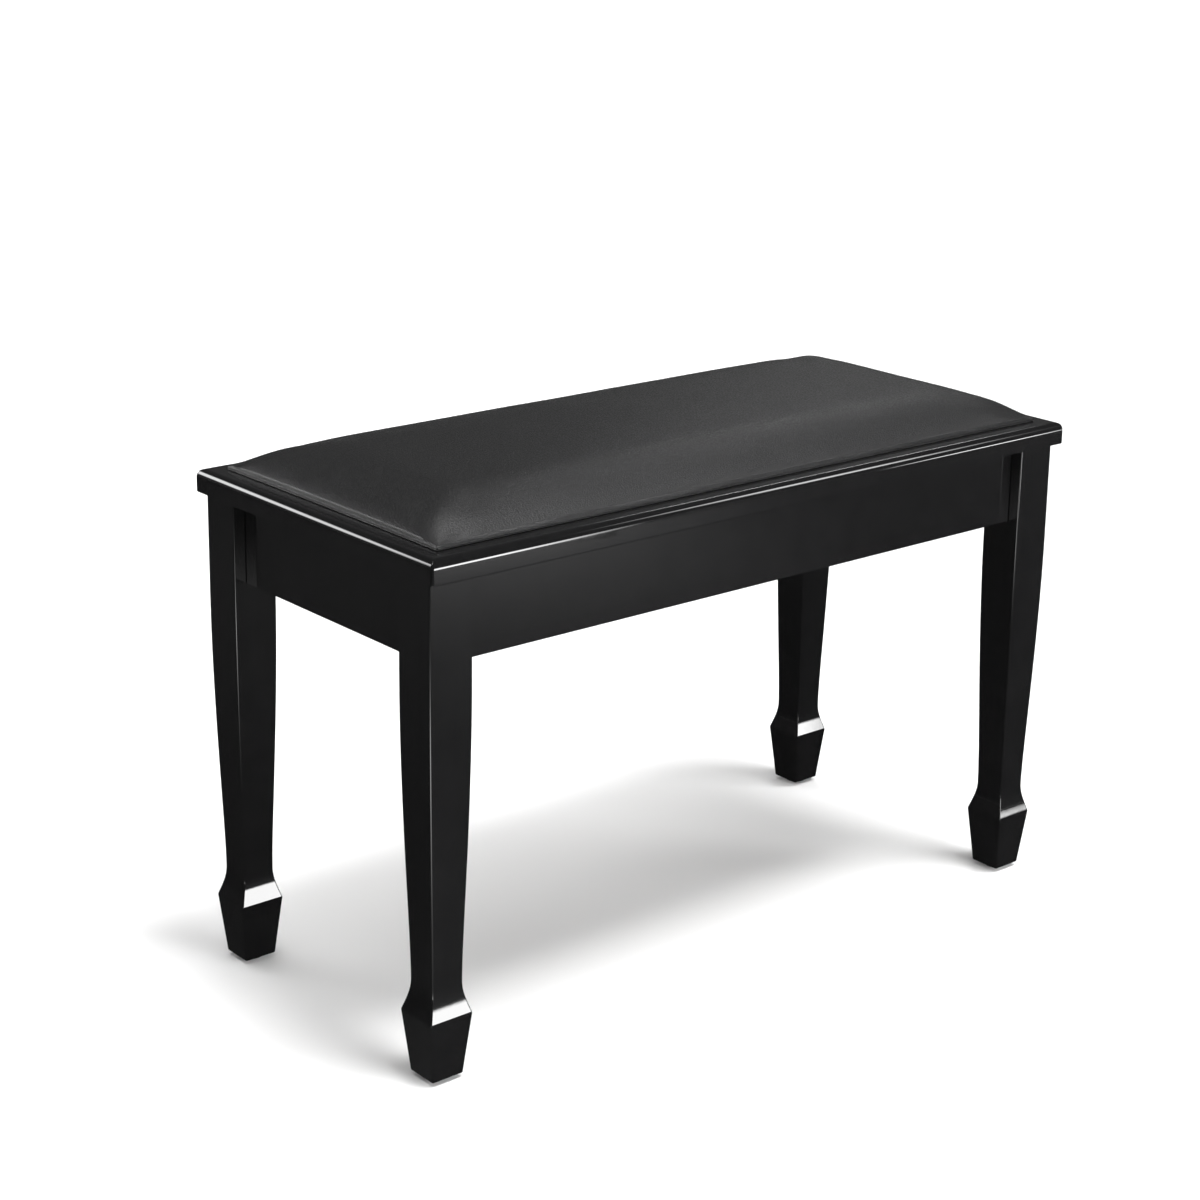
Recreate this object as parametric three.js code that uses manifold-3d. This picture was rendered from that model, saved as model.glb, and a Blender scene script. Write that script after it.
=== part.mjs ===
// A two-seat piano bench with a padded, hinged lid over a shallow music compartment.
// Millimetres, +Z up. The origin is on the floor under the middle of the seat.
// X runs along the seat, -Y is the front and +Y the hinged back edge.

import * as THREE from "three";
import { mergeVertices } from "three/addons/utils/BufferGeometryUtils.js";
import Module from "manifold-3d";

const wasm = await Module();
wasm.setup();

// ---- Driving dimensions ----------------------------------------------------

const LENGTH = 750; // lid, along X
const DEPTH = 350; // lid, along Y
const HEIGHT = 500; // floor to the crown of the cushion
const CROWN = 38; // cushion crown above the lid
const LID_THICK = 21;
const LID_ROUND = 7.5; // radius along the lid's top edges
const LID_GAP = 1.5; // seam between the lid and the frame
const OVERHANG_END = 5; // lid beyond the legs' outer faces
const OVERHANG_SIDE = 10;

const LEG = 42.5; // square section at the top
const ANKLE = 31; // narrowest section, above the spade foot
const SPADE = 43; // widest section of the spade foot
const TOE = 31.5; // section where the foot ends
const TAPER_TOP_Z = 348;
const ANKLE_Z = 88;
const SPADE_Z = 60;
const GLIDE_THICK = 4;
const GLIDE_R = 11;

const APRON_THICK = 18;
const APRON_BOTTOM_Z = 366;
const APRON_RECESS = 12; // front and end aprons, behind the legs' faces

const CLEAT = [12, 10]; // width, height
const CLEAT_LIFT = 1; // cleats above the aprons' lower edge
const FLOOR_THICK = 4;
const FIT = 0.5; // slip clearance of wooden pieces

const BLOCK_REACH = 31; // diagonal face of a corner block, u + v from the leg's corner
const BLOCK_HEIGHT = 50;
const BOLT_R = 4;
const BOLT_LENGTH = 56;

const PAD_INSET = 20; // cushion from the lid's edges
const PAD_EDGE = 8; // height of the cushion's upright edge
const PAD_BOARD = 5;
const COVER_THICK = 1.2;
const CLEAR = 0.3; // between pieces that touch
const PAD_RISE = 42; // length over which the cushion swells

const HINGE_X = 230;
const HINGE_LENGTH = 60;
const LEAF_THICK = 1.4;
const KNUCKLE_R = 3;
const PIN_R = 1.5;
const OPEN_SPLIT = 0.2; // each leaf from the hinge axis plane

const STAY_WIDTH = 12;
const STAY_THICK = 2;
const RIVET_R = 2.5;

// ---- Derived places ----------------------------------------------------------

const lidTop = HEIGHT - CROWN;
const lidBottom = lidTop - LID_THICK;
const frameTop = lidBottom - LID_GAP;
const legX = LENGTH / 2 - OVERHANG_END - LEG / 2; // leg axes
const legY = DEPTH / 2 - OVERHANG_SIDE - LEG / 2;
const innerX = legX - LEG / 2; // the legs' inner faces
const innerY = legY - LEG / 2;
const outerX = legX + LEG / 2;
const outerY = legY + LEG / 2;
const endInner = outerX - APRON_RECESS - APRON_THICK; // inner faces of the aprons
const frontInner = outerY - APRON_RECESS - APRON_THICK;
const rearInner = outerY - APRON_THICK;
const cleatZ = APRON_BOTTOM_Z + CLEAT_LIFT;
const floorZ = cleatZ + CLEAT[1];
const compartmentZ = floorZ + FLOOR_THICK;
const hingeY = outerY + KNUCKLE_R + FIT;
const hingeZ = lidBottom + OPEN_SPLIT;
const blockZ = compartmentZ + 2;
const corners = [
  ["front_left", -1, -1, 0],
  ["front_right", 1, -1, 90],
  ["rear_right", 1, 1, 180],
  ["rear_left", -1, 1, 270],
];

// ---- Finishes ------------------------------------------------------------------

const finish = (color, roughness, metalness = 0) =>
  new THREE.MeshStandardMaterial({ color, roughness, metalness });
const lacquer = finish(0x0b0b0c, 0.12);
const leather = finish(0x1b1b1c, 0.5);
const plywood = finish(0xa98559, 0.7);
const foamStuff = finish(0xd9d2b4, 0.95);
const steel = finish(0xb5b6b8, 0.32, 1);
const plastic = finish(0x111112, 0.5);
const rubber = finish(0x16161a, 0.8);

// ---- Solids --------------------------------------------------------------------

function solidOf(geometry) {
  const bare = geometry.index ? geometry.toNonIndexed() : geometry.clone();
  for (const name of Object.keys(bare.attributes)) {
    if (name !== "position") bare.deleteAttribute(name);
  }
  const merged = mergeVertices(bare, 1e-4);
  return new wasm.Manifold(
    new wasm.Mesh({
      numProp: 3,
      vertProperties: merged.attributes.position.array,
      triVerts: new Uint32Array(merged.index.array),
    }),
  );
}

function geometryOf(solid) {
  const mesh = solid.getMesh();
  return new THREE.BufferGeometry()
    .setAttribute("position", new THREE.BufferAttribute(mesh.vertProperties, 3))
    .setIndex(new THREE.BufferAttribute(mesh.triVerts, 1));
}

const cut = (body, ...tools) =>
  geometryOf(tools.reduce((left, tool) => left.subtract(solidOf(tool)), solidOf(body)));
const join = (...bodies) => geometryOf(bodies.map(solidOf).reduce((sum, body) => sum.add(body)));
const common = (a, b) => geometryOf(solidOf(a).intersect(solidOf(b)));

function block(x, y, z) {
  const geometry = new THREE.BoxGeometry(x[1] - x[0], y[1] - y[0], z[1] - z[0]);
  return geometry.translate((x[0] + x[1]) / 2, (y[0] + y[1]) / 2, (z[0] + z[1]) / 2);
}

// A round rod from one point to another.
function rod(radius, from, to, sides = 16) {
  const start = new THREE.Vector3(...from);
  const along = new THREE.Vector3(...to).sub(start);
  const geometry = new THREE.CylinderGeometry(radius, radius, along.length(), sides);
  geometry.translate(0, along.length() / 2, 0);
  const turn = new THREE.Quaternion().setFromUnitVectors(new THREE.Vector3(0, 1, 0), along.normalize());
  return geometry.applyQuaternion(turn).translate(...from);
}

// The hole that lets a rod of this radius and number of sides turn freely.
const bore = (radius, from, to, sides = 16, play = 0.1) =>
  rod((radius + play) / Math.cos(Math.PI / sides), from, to, sides);

// A turned piece from [radius, z] points, on the Z axis.
function turned(points, sides = 16) {
  const outline = points.map(([r, z]) => new THREE.Vector2(r, z));
  return new THREE.LatheGeometry(outline, sides).rotateX(Math.PI / 2);
}

// An outline in (x, z) extruded along Y, centred on the XZ plane.
function alongY(shape, length, curveSegments = 8) {
  const geometry = new THREE.ExtrudeGeometry(shape, { depth: length, bevelEnabled: false, curveSegments });
  return geometry.rotateX(Math.PI / 2).translate(0, length / 2, 0);
}

const alongX = (shape, length, curveSegments) =>
  alongY(shape, length, curveSegments).rotateZ(Math.PI / 2);

// An outline in (x, y) extruded upwards from z.
const upright = (points, z, height) =>
  new THREE.ExtrudeGeometry(new THREE.Shape(points.map(([x, y]) => new THREE.Vector2(x, y))), {
    depth: height,
    bevelEnabled: false,
  }).translate(0, 0, z);

const bench = new THREE.Group();

function add(name, geometry, material, position = [0, 0, 0], turnZ = 0) {
  const mesh = new THREE.Mesh(geometry, material);
  mesh.name = name;
  mesh.position.set(...position);
  mesh.rotation.z = (turnZ * Math.PI) / 180;
  bench.add(mesh);
}

// ---- Legs, their glides and their bolts ------------------------------------------

// Half of the leg's outline: a straight head, a slow taper, a cove and a spade foot.
function legOutline() {
  const [head, ankle, spade, toe] = [LEG, ANKLE, SPADE, TOE].map((width) => width / 2);
  const fall = TAPER_TOP_Z - ANKLE_Z;
  const shape = new THREE.Shape();
  shape.moveTo(-head, frameTop);
  shape.lineTo(-head, TAPER_TOP_Z);
  shape.bezierCurveTo(-head, TAPER_TOP_Z - 0.42 * fall, -ankle, ANKLE_Z + 0.16 * fall, -ankle, ANKLE_Z);
  shape.bezierCurveTo(-ankle, ANKLE_Z - 9, -ankle - 2.2, ANKLE_Z - 16, -spade, SPADE_Z);
  shape.lineTo(-toe, GLIDE_THICK);
  shape.lineTo(toe, GLIDE_THICK);
  shape.lineTo(spade, SPADE_Z);
  shape.bezierCurveTo(ankle + 2.2, ANKLE_Z - 16, ankle, ANKLE_Z - 9, ankle, ANKLE_Z);
  shape.bezierCurveTo(ankle, ANKLE_Z + 0.16 * fall, head, TAPER_TOP_Z - 0.42 * fall, head, TAPER_TOP_Z);
  shape.lineTo(head, frameTop);
  shape.closePath();
  return shape;
}

const boltZ = blockZ + BLOCK_HEIGHT / 2;
const nailLength = 14;
const nailR = 1.25;

// The bolts run along the diagonal from the compartment into the leg's inner corner.
const diagonal = Math.SQRT1_2;
const cornerToFace = BLOCK_REACH * diagonal; // the leg's inner corner to the block's bolted face
const legCornerToAxis = (LEG / 2) * Math.SQRT2;

function leg() {
  const silhouette = legOutline();
  const square = common(alongY(silhouette, SPADE + 1, 7), alongX(silhouette, SPADE + 1, 7));
  const deepest = (legCornerToAxis + cornerToFace - BOLT_LENGTH - 1.5) * diagonal;
  const boltHole = bore(BOLT_R, [deepest, deepest, boltZ], [LEG, LEG, boltZ]);
  const nailHole = bore(nailR, [0, 0, 0], [0, 0, GLIDE_THICK + nailLength + 1], 12);
  return cut(square, boltHole, nailHole);
}

function glide() {
  const rim = 1.2;
  return turned(
    [
      [0, 0],
      [GLIDE_R - rim, 0],
      [GLIDE_R, rim],
      [GLIDE_R, GLIDE_THICK - CLEAR],
      [nailR, GLIDE_THICK - CLEAR],
      [nailR, GLIDE_THICK + nailLength - 2],
      [0, GLIDE_THICK + nailLength],
    ],
    24,
  );
}

// A button-head socket bolt, its head's seat at z = 0 and its shank below.
function bolt() {
  const socket = new THREE.CylinderGeometry(2.9, 2.9, 6, 6).rotateX(Math.PI / 2).translate(0, 0, 5.4);
  const body = turned([
    [0, -BOLT_LENGTH],
    [BOLT_R - 0.8, -BOLT_LENGTH],
    [BOLT_R, -BOLT_LENGTH + 1.5],
    [BOLT_R, 0],
    [10, 0],
    [10, 1.4],
    [7.6, 1.8],
    [6.6, 3.8],
    [4.6, 5],
    [0, 5.2],
  ]);
  return cut(body, socket);
}

const legSolid = leg();
const glideSolid = glide();
const boltSolid = bolt();
for (const [corner, sx, sy, turn] of corners) {
  add(`leg_${corner}`, legSolid, lacquer, [sx * legX, sy * legY, 0], turn);
  add(`glide_${corner}`, glideSolid, plastic, [sx * legX, sy * legY, 0]);
}

// ---- Aprons ------------------------------------------------------------------------

function apron(x, y) {
  return block(x, y, [APRON_BOTTOM_Z, frameTop]);
}

const hingeScrewR = 1.6;
const hingeScrewLength = 14;
const leafScrewX = [-20, 20]; // on the frame's leaf
const lidLeafScrewX = [-9, 9]; // on the lid's leaf
const leafScrewY = rearInner + 9;
const hingeSides = [
  ["left", -1],
  ["right", 1],
];

function rearApron() {
  const pilots = hingeSides.flatMap(([, side]) =>
    leafScrewX.map((dx) => {
      const x = side * HINGE_X + dx;
      return bore(hingeScrewR, [x, leafScrewY, frameTop - hingeScrewLength], [x, leafScrewY, frameTop + 1]);
    }),
  );
  return cut(apron([-innerX, innerX], [rearInner, outerY]), ...pilots);
}

add("apron_front", apron([-innerX, innerX], [-frontInner - APRON_THICK, -frontInner]), lacquer);
add("apron_rear", rearApron(), lacquer);
add("apron_left", apron([-endInner - APRON_THICK, -endInner], [-innerY, innerY]), lacquer);

// ---- Corner blocks, bolted to the legs ------------------------------------------------

// u and v run outwards along X and Y from the leg's inner corner.
for (const [corner, sx, sy] of corners) {
  const u = endInner - innerX;
  const v = (sy < 0 ? frontInner : rearInner) - innerY;
  const outline = [
    [u, -FIT],
    [u, -BLOCK_REACH - u],
    [-BLOCK_REACH - v, v],
    [-FIT, v],
    [-FIT, -FIT],
  ].map(([a, b]) => [sx * (innerX + a), sy * (innerY + b)]);
  const faceX = sx * (innerX - BLOCK_REACH / 2);
  const faceY = sy * (innerY - BLOCK_REACH / 2);
  const hole = bore(BOLT_R, [faceX - sx * 9, faceY - sy * 9, boltZ], [faceX + sx * 30, faceY + sy * 30, boltZ]);
  add(`corner_block_${corner}`, cut(upright(outline, blockZ, BLOCK_HEIGHT), hole), plywood);

  const towardsLeg = new THREE.Vector3(sx, sy, 0).normalize();
  const seated = boltSolid
    .clone()
    .applyQuaternion(new THREE.Quaternion().setFromUnitVectors(new THREE.Vector3(0, 0, -1), towardsLeg))
    .translate(-towardsLeg.x * CLEAR, -towardsLeg.y * CLEAR, 0);
  add(`leg_bolt_${corner}`, seated, steel, [faceX, faceY, boltZ]);
}

// ---- Compartment floor on its cleats -----------------------------------------------------

const cleatX = [-innerX + FIT, innerX - FIT];
add("cleat_front", block(cleatX, [-frontInner, -frontInner + CLEAT[0]], [cleatZ, floorZ]), plywood);
add("cleat_rear", block(cleatX, [rearInner - CLEAT[0], rearInner], [cleatZ, floorZ]), plywood);

function compartmentFloor() {
  const [x, y0, y1] = [endInner - FIT, -frontInner + FIT, rearInner - FIT];
  const [nx, ny] = [innerX - FIT, innerY - FIT];
  const outline = [
    [-x, -ny],
    [-nx, -ny],
    [-nx, y0],
    [nx, y0],
    [nx, -ny],
    [x, -ny],
    [x, ny],
    [nx, ny],
    [nx, y1],
    [-nx, y1],
    [-nx, ny],
    [-x, ny],
  ];
  return upright(outline, floorZ, FLOOR_THICK);
}
add("compartment_floor", compartmentFloor(), plywood);

// ---- Lid board -------------------------------------------------------------------------------

const padScrews = [
  ["front_left", -260, -95],
  ["front_right", 260, -95],
  ["rear_left", -260, 95],
  ["rear_right", 260, 95],
];
const padScrewR = 2;
const padScrewHead = [4.5, 2.2]; // radius, thickness
const counterbore = 3.5;

// The lid's section: square below, rounded along the top.
function lidSection(width) {
  const half = width / 2;
  const shape = new THREE.Shape();
  shape.moveTo(-half, lidBottom);
  shape.lineTo(half, lidBottom);
  shape.lineTo(half, lidTop - LID_ROUND);
  shape.absarc(half - LID_ROUND, lidTop - LID_ROUND, LID_ROUND, 0, Math.PI / 2, false);
  shape.absarc(-half + LID_ROUND, lidTop - LID_ROUND, LID_ROUND, Math.PI / 2, Math.PI, false);
  shape.closePath();
  return shape;
}

function lidBoard() {
  const board = common(alongY(lidSection(LENGTH), DEPTH), alongX(lidSection(DEPTH), LENGTH));
  const tools = [];
  for (const [, side] of hingeSides) {
    const x = side * HINGE_X;
    const reach = HINGE_LENGTH / 2 + 3;
    const leafTop = hingeZ + OPEN_SPLIT + LEAF_THICK;
    tools.push(
      block([x - reach, x + reach], [rearInner - FIT, DEPTH], [lidBottom - 1, leafTop + 0.2]),
      block([x - reach, x + reach], [hingeY - KNUCKLE_R - 1, DEPTH], [lidBottom - 1, hingeZ + KNUCKLE_R + FIT]),
    );
    for (const dx of lidLeafScrewX) {
      tools.push(bore(hingeScrewR, [x + dx, leafScrewY, lidBottom], [x + dx, leafScrewY, lidTop - 4]));
    }
  }
  for (const [, x, y] of padScrews) {
    tools.push(
      bore(padScrewR, [x, y, lidBottom - 1], [x, y, lidTop + 1]),
      rod(padScrewHead[0] + 1.5, [x, y, lidBottom - 1], [x, y, lidBottom + counterbore]),
    );
  }
  for (const y of stayPlateScrewY) {
    tools.push(bore(hingeScrewR, [stayPlateX, y, lidBottom - 1], [stayPlateX, y, lidBottom + 14]));
  }
  return cut(board, ...tools);
}

// ---- Cushion ---------------------------------------------------------------------------------

const padX = LENGTH / 2 - PAD_INSET;
const padY = DEPTH / 2 - PAD_INSET;

// Height of the cushion's skin above the lid, a distance in from its end and side edges.
function swell(fromEnd, fromSide) {
  const rise = (distance, half) => (1 - Math.exp(-distance / PAD_RISE)) / (1 - Math.exp(-half / PAD_RISE));
  const a = rise(fromEnd, padX);
  const b = rise(fromSide, padY);
  return PAD_EDGE + (CROWN - PAD_EDGE) * Math.sqrt(a * b * Math.min(a, b));
}

// A closed dome, drawn in from the cushion's skin by a wall thickness.
function dome(inset, bottom) {
  const [columns, rows] = [28, 16];
  const geometry = new THREE.BoxGeometry(2, 2, 1, columns, rows, 1);
  const place = geometry.attributes.position;
  const spread = (t) => Math.sin((t * Math.PI) / 2); // closer lines near the edges
  for (let i = 0; i < place.count; i++) {
    const x = spread(place.getX(i));
    const y = spread(place.getY(i));
    const skin = lidTop + swell(padX * (1 - Math.abs(x)), padY * (1 - Math.abs(y)));
    place.setXYZ(i, x * (padX - inset), y * (padY - inset), place.getZ(i) > 0 ? skin - inset : bottom);
  }
  return geometry;
}

const coverZ = lidTop + CLEAR;
const boardTop = coverZ + PAD_BOARD;

function padBoard() {
  const inset = COVER_THICK + CLEAR;
  const [x, y] = [padX - inset, padY - inset];
  const board = block([-x, x], [-y, y], [coverZ, boardTop]);
  return cut(board, ...padScrews.map(([, sx, sy]) => bore(padScrewR, [sx, sy, lidTop], [sx, sy, boardTop])));
}

function padScrew() {
  const [radius, thick] = padScrewHead;
  const tip = padScrewTip - lidBottom - counterbore;
  const body = turned([
    [0, -thick],
    [radius - 1, -thick],
    [radius, -thick + 1],
    [radius, -CLEAR],
    [padScrewR, -CLEAR],
    [padScrewR, tip - 2],
    [0, tip],
  ]);
  const crossed = [
    block([-2.2, 2.2], [-0.5, 0.5], [-thick - 1, -thick + 1.2]),
    block([-0.5, 0.5], [-2.2, 2.2], [-thick - 1, -thick + 1.2]),
  ];
  return cut(body, ...crossed);
}

// ---- Hinges ------------------------------------------------------------------------------------

const knuckleGap = 0.3;
const middleKnuckle = HINGE_LENGTH * 0.45;

// One leaf with its knuckles. side is -1 for the frame's leaf and 1 for the lid's.
function leaf(side) {
  const near = hingeZ + side * OPEN_SPLIT;
  const z = [near, near + side * LEAF_THICK].sort((a, b) => a - b);
  const half = HINGE_LENGTH / 2;
  const middle = [-middleKnuckle / 2, middleKnuckle / 2];
  const plateEdge = hingeY - KNUCKLE_R - knuckleGap;
  const plate = block([-half, half], [rearInner + FIT, plateEdge], z);
  const knuckles = side > 0 ? [middle] : [[-half, middle[0] - knuckleGap], [middle[1] + knuckleGap, half]];
  const barrels = knuckles.flatMap((x) => [
    rod(KNUCKLE_R, [x[0], hingeY, hingeZ], [x[1], hingeY, hingeZ], 24),
    block(x, [plateEdge - 0.5, hingeY], z),
  ]);
  const pinHole = bore(PIN_R, [-half - 1, hingeY, hingeZ], [half + 1, hingeY, hingeZ], 24);
  const screwX = side > 0 ? lidLeafScrewX : leafScrewX;
  const sinks = screwX.map((x) => screwSeat(side).translate(x, leafScrewY, near));
  return cut(join(plate, ...barrels), pinHole, ...sinks);
}

// A countersunk screw with its flat head at z = 0, pointing down.
const countersunk = (grow) => {
  const radius = hingeScrewR + grow;
  return [
    [0, -hingeScrewLength],
    [radius, -hingeScrewLength + 2],
    [radius, -LEAF_THICK - 0.2],
    [radius + 1.5, -0.2],
    [radius + 1.5, grow],
    [0, grow],
  ];
};
const screwSeat = (side) => {
  const seat = turned(countersunk(0.15));
  return side > 0 ? seat.rotateX(Math.PI) : seat;
};

function hingeScrew(side) {
  const sunk = 0.05;
  const crossed = [
    block([-1.6, 1.6], [-0.35, 0.35], [-1, 1]),
    block([-0.35, 0.35], [-1.6, 1.6], [-1, 1]),
  ];
  const body = cut(turned(countersunk(0)), ...crossed).translate(0, 0, -sunk);
  return side > 0 ? body.rotateX(Math.PI) : body;
}

function hingePin() {
  const half = HINGE_LENGTH / 2;
  const head = [2.4, 1.2];
  const along = [
    [0, -half - CLEAR - head[1]],
    [head[0], -half - CLEAR - head[1]],
    [head[0], -half - CLEAR],
    [PIN_R, -half - CLEAR],
    [PIN_R, half + CLEAR],
    [head[0], half + CLEAR],
    [head[0], half + CLEAR + head[1]],
    [0, half + CLEAR + head[1]],
  ];
  return turned(along, 24).rotateY(Math.PI / 2).translate(0, hingeY, hingeZ);
}

const leaves = { frame: leaf(-1), lid: leaf(1) };
const hingeScrews = { frame: hingeScrew(-1), lid: hingeScrew(1) };
const pin = hingePin();
for (const [name, side] of hingeSides) {
  const x = side * HINGE_X;
  add(`hinge_frame_leaf_${name}`, leaves.frame, steel, [x, 0, 0]);
  add(`hinge_lid_leaf_${name}`, leaves.lid, steel, [x, 0, 0]);
  add(`hinge_pin_${name}`, pin, steel, [x, 0, 0]);
  ["outer", "inner"].forEach((place, i) => {
    const flip = side > 0 ? 1 - i : i;
    const frameZ = hingeZ - OPEN_SPLIT;
    const lidZ = hingeZ + OPEN_SPLIT;
    add(`hinge_frame_screw_${name}_${place}`, hingeScrews.frame, steel, [x + leafScrewX[flip], leafScrewY, frameZ]);
    add(`hinge_lid_screw_${name}_${place}`, hingeScrews.lid, steel, [x + lidLeafScrewX[flip], leafScrewY, lidZ]);
  });
}

// ---- Folding lid stay on the right-hand end ---------------------------------------------------------

// Its two arms and the hinge form a parallelogram, so the elbow opens as far as the lid does.
const stayPost = [62, 405]; // y, z of the pivot on the apron
const stayLid = [hingeY - 130, hingeZ - 10.2]; // y, z of the pivot on the lid
const stayElbow = [stayPost[0] + stayLid[0] - hingeY, stayPost[1] + stayLid[1] - hingeZ];
const layer = (n) => endInner - CLEAR - (n + 1) * STAY_THICK - n * CLEAR; // each plate's inner side, in X
const postScrews = [
  [stayPost[0] - 10, stayPost[1] - 15],
  [stayPost[0] + 10, stayPost[1] - 15],
];
const stayPlateX = layer(3) - 9;
const stayPlateScrewY = [stayLid[0] - 12, stayLid[0] + 12];

// A flat link with round ends between two (y, z) points, its bores at their centres.
function link(a, b, n) {
  const direction = Math.atan2(b[1] - a[1], b[0] - a[0]);
  const radius = STAY_WIDTH / 2;
  const shape = new THREE.Shape();
  shape.absarc(b[0], b[1], radius, direction - Math.PI / 2, direction + Math.PI / 2, false);
  shape.absarc(a[0], a[1], radius, direction + Math.PI / 2, direction + (3 * Math.PI) / 2, false);
  shape.closePath();
  const x = layer(n);
  const plate = alongX(shape, STAY_THICK, 10).translate(x + STAY_THICK / 2, 0, 0);
  return cut(plate, ...[a, b].map(([y, z]) => bore(RIVET_R, [x - 1, y, z], [x + STAY_THICK + 1, y, z])));
}

// A rivet through plates n to m at a (y, z) point, with a domed head on its inner side.
function rivet([y, z], n, m, backHead) {
  const inner = layer(m) - CLEAR;
  const outer = layer(n) + STAY_THICK + (backHead ? CLEAR : 0);
  const points = [
    [0, inner - 1.4],
    [2.6, inner - 1.2],
    [4, inner - 0.4],
    [4, inner],
    [RIVET_R, inner],
    [RIVET_R, outer],
    ...(backHead ? [[4, outer], [4, outer + 1], [0, outer + 1]] : [[0, outer]]),
  ];
  return turned(points).rotateY(Math.PI / 2).translate(0, y, z);
}

function stayApronBracket() {
  const [y, z] = stayPost;
  const x = [layer(0), layer(0) + STAY_THICK];
  const plate = block(x, [y - 16, y + 16], [z - 22, z + 10]);
  const holes = postScrews.map(([sy, sz]) => bore(hingeScrewR, [x[0] - 1, sy, sz], [x[1] + 1, sy, sz]));
  return cut(plate, bore(RIVET_R, [x[0] - 1, y, z], [x[1] + 1, y, z]), ...holes);
}

function stayLidBracket() {
  const [y, z] = stayLid;
  const x = [layer(3), layer(3) + STAY_THICK];
  const foot = block([x[0] - 16, x[1]], [y - 18, y + 18], [lidBottom - STAY_THICK, lidBottom]);
  const tab = block(x, [y - 7, y + 7], [z - 7, lidBottom]);
  const holes = stayPlateScrewY.map((sy) =>
    bore(hingeScrewR, [stayPlateX, sy, lidBottom - 5], [stayPlateX, sy, lidBottom + 1]),
  );
  return cut(join(foot, tab), bore(RIVET_R, [x[0] - 1, y, z], [x[1] + 1, y, z]), ...holes);
}

function stayPlateScrew() {
  return turned([
    [0, -2.2],
    [2.2, -2],
    [3.2, -1],
    [3.2, -0.1],
    [hingeScrewR, -0.1],
    [hingeScrewR, 11],
    [0, 13],
  ]);
}

add("stay_apron_bracket", stayApronBracket(), steel);
add("stay_lower_arm", link(stayPost, stayElbow, 1), steel);
add("stay_upper_arm", link(stayElbow, stayLid, 2), steel);
add("stay_lid_bracket", stayLidBracket(), steel);
add("stay_apron_rivet", rivet(stayPost, 0, 1, false), steel);
add("stay_elbow_rivet", rivet(stayElbow, 1, 2, true), steel);
add("stay_lid_rivet", rivet(stayLid, 2, 3, true), steel);
const plateScrew = stayPlateScrew();
const postScrew = plateScrew.clone().rotateY(Math.PI / 2);
["front", "rear"].forEach((place, i) => {
  add(`stay_lid_screw_${place}`, plateScrew, steel, [stayPlateX, stayPlateScrewY[i], lidBottom - STAY_THICK]);
  add(`stay_apron_screw_${place}`, postScrew, steel, [layer(0), ...postScrews[i]]);
});
const rightApron = apron([endInner, endInner + APRON_THICK], [-innerY, innerY]);
const postPilots = postScrews.map(([y, z]) => bore(hingeScrewR, [endInner - 1, y, z], [endInner + 12.5, y, z]));
add("apron_right", cut(rightApron, ...postPilots), lacquer);

// ---- The lid and what it carries ------------------------------------------------------------------------

const padScrewTip = boardTop - 0.8;
add("lid_board", lidBoard(), lacquer);
add("cushion_board", padBoard(), plywood);
add("cushion_foam", dome(COVER_THICK + CLEAR, boardTop + CLEAR), foamStuff);
add("cushion_cover", cut(dome(0, coverZ), dome(COVER_THICK, lidTop - 5)), leather);
const padScrewSolid = padScrew();
for (const [corner, x, y] of padScrews) {
  add(`cushion_screw_${corner}`, padScrewSolid, steel, [x, y, lidBottom + counterbore]);
}

const bumperR = 5;
for (const [corner, sx, sy] of corners.filter(([, , side]) => side < 0)) {
  const [x, y] = [sx * legX, sy * legY];
  add(`bumper_${corner}`, rod(bumperR, [x, y, frameTop + 0.1], [x, y, lidBottom - 0.2], 20), rubber);
}

export default bench;
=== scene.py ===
"""Looks of the piano bench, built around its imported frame. Metres, +Z up, front = -Y."""

import math

import bmesh
import bpy
import numpy as np
from mathutils import Matrix, Vector


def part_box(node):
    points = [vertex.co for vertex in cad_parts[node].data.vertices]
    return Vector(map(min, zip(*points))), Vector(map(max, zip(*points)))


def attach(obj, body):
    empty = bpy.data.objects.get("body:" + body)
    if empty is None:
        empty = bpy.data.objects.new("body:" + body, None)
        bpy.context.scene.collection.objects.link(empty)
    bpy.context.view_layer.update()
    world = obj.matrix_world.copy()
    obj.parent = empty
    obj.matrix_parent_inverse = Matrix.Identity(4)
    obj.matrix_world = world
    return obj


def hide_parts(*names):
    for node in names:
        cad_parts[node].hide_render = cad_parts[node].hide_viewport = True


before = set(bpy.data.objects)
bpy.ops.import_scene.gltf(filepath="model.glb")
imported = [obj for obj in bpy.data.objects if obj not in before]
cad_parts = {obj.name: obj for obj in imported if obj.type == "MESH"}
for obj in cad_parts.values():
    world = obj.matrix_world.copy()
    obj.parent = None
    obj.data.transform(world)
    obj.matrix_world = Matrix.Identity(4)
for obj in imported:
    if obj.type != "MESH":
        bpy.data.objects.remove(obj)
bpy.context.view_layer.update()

MM = 0.001
CORNERS = {"front_left": (-1, -1), "front_right": (1, -1), "rear_right": (1, 1), "rear_left": (-1, 1)}
scene = bpy.context.scene
scene.view_settings.view_transform = "Standard"


# ---- Node helpers ---------------------------------------------------------------


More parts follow.
